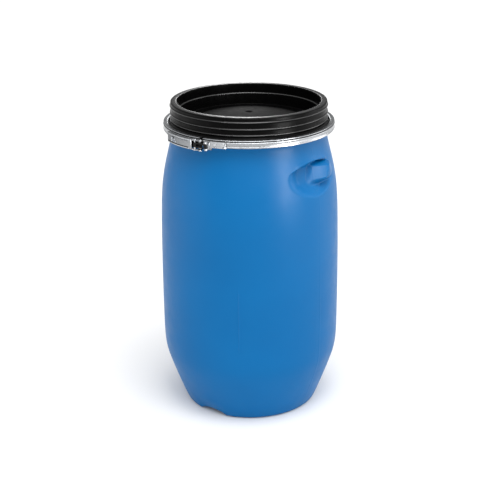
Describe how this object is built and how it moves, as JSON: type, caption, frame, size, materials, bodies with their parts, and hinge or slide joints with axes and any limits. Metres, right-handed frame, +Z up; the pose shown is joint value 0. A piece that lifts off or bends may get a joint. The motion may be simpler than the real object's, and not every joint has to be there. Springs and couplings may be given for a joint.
{
  "type": "open-head plastic drum",
  "caption": "Barrel-shaped plastic drum with side grips, a ribbed black lid and a lever-lock clamping ring.",
  "frame": {"origin": "centre of the drum's base, on the floor", "axes": "+Z up along the drum's axis; -Y towards the pivots of the lever lock; +X to the right of the lock"},
  "size_m": [0.3704, 0.3704, 0.65],
  "materials": {
    "drum_plastic": "blue blow-moulded polyethylene, soft satin sheen",
    "lid_plastic": "black injection-moulded polyethylene, glossy",
    "gasket_foam": "dark closed-cell foam",
    "zinc_steel": "galvanised rolled steel",
    "rivet_steel": "zinc-plated rivet steel"
  },
  "bodies": {
    "drum": {"drum_body": "drum_plastic"},
    "cover": {"lid": "lid_plastic", "lid_gasket": "gasket_foam"},
    "ring": {"clamp_ring": "zinc_steel", "anchor_strap": "zinc_steel", "strap_rivets": "rivet_steel", "anchor_pin": "rivet_steel"},
    "ring_end": {"lever_bracket": "zinc_steel", "bracket_rivets": "rivet_steel", "lever_pivots": "rivet_steel", "seal_lug": "zinc_steel"},
    "lever_arm": {"lever": "zinc_steel", "link_pin": "rivet_steel"},
    "link_arm": {"link": "zinc_steel"}
  },
  "joints": [
    {"name": "lid_lift", "type": "slide", "parent": "drum", "child": "cover", "axis": [0, 0, 1], "range_m": [0, 0.36]},
    {"name": "ring_lift", "type": "slide", "parent": "cover", "child": "ring", "axis": [0, 0, 1], "range_m": [0, 0.12], "deforming": ["clamp_ring"]},
    {"name": "ring_spring", "type": "hinge", "parent": "ring", "child": "ring_end", "pos_m": [0, 0.1727, 0.6005], "axis": [0, 0, -1], "range_deg": [0, 3.04], "deforming": ["clamp_ring"]},
    {"name": "lever_swing", "type": "hinge", "parent": "ring_end", "child": "lever_arm", "pos_m": [0.001, -0.1782, 0.5965], "axis": [0, 0, 1], "range_deg": [0, 135]},
    {"name": "link_swing", "type": "hinge", "parent": "lever_arm", "child": "link_arm", "pos_m": [-0.011, -0.1782, 0.5965], "axis": [0, 0, 1], "range_deg": [-112.4, 0]}
  ],
  "couplings": [
    {"joint": "ring_spring", "follows": "lever_swing", "ratio": 0.022435},
    {"joint": "link_swing", "follows": "lever_swing", "ratio": -0.83061}
  ]
}
